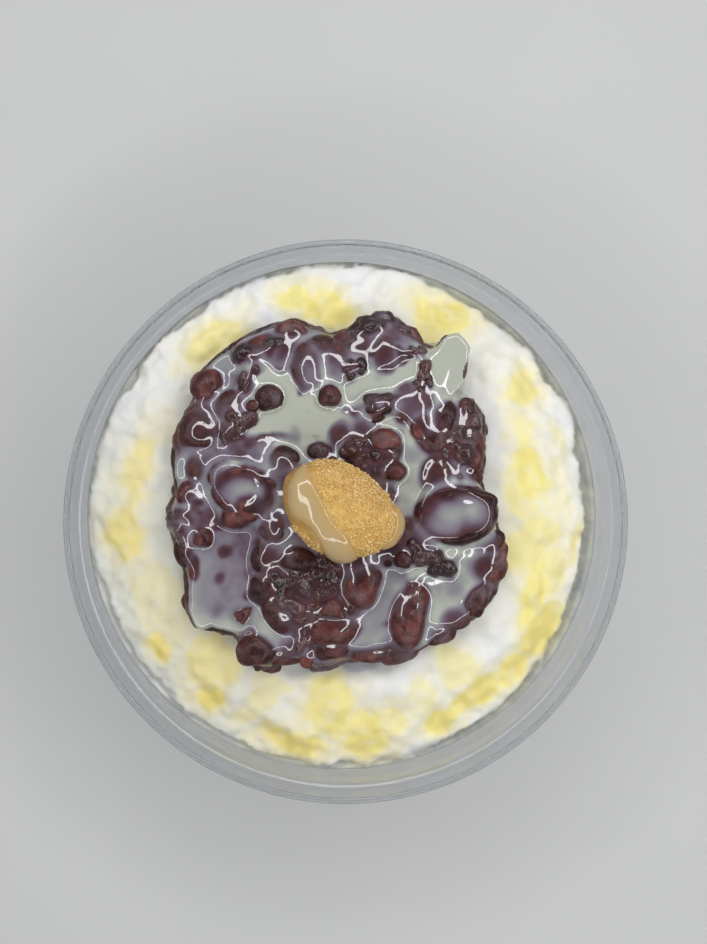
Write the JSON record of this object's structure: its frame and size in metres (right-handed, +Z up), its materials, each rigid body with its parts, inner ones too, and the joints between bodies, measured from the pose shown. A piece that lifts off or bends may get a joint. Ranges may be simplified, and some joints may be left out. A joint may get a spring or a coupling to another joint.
{
  "type": "bingsu",
  "caption": "Shaved-ice dessert in a thin clear bowl: milk ice under a mound of sweet red beans with condensed milk and a powdered rice cake.",
  "frame": {"origin": "middle of the bowl's foot, on the surface it stands on", "axes": "+Z up; +Y towards the far side of the serving; +X to its right"},
  "size_m": [0.142, 0.142, 0.0925],
  "materials": {
    "bowl": "thin clear plastic, polished, faintly hazy",
    "ice": "shaved milk ice: fluffy, white, wet at the wall",
    "beans": "cooked red beans and paste, wet, dark maroon",
    "milk": "condensed milk, glossy, cream to grey where it is thin",
    "cake": "soft rice cake under dry golden bean powder"
  },
  "bodies": {
    "root": {"bowl": "bowl", "shaved_ice": "ice", "red_beans": "beans", "condensed_milk": "milk", "rice_cake": "cake"}
  },
  "joints": []
}
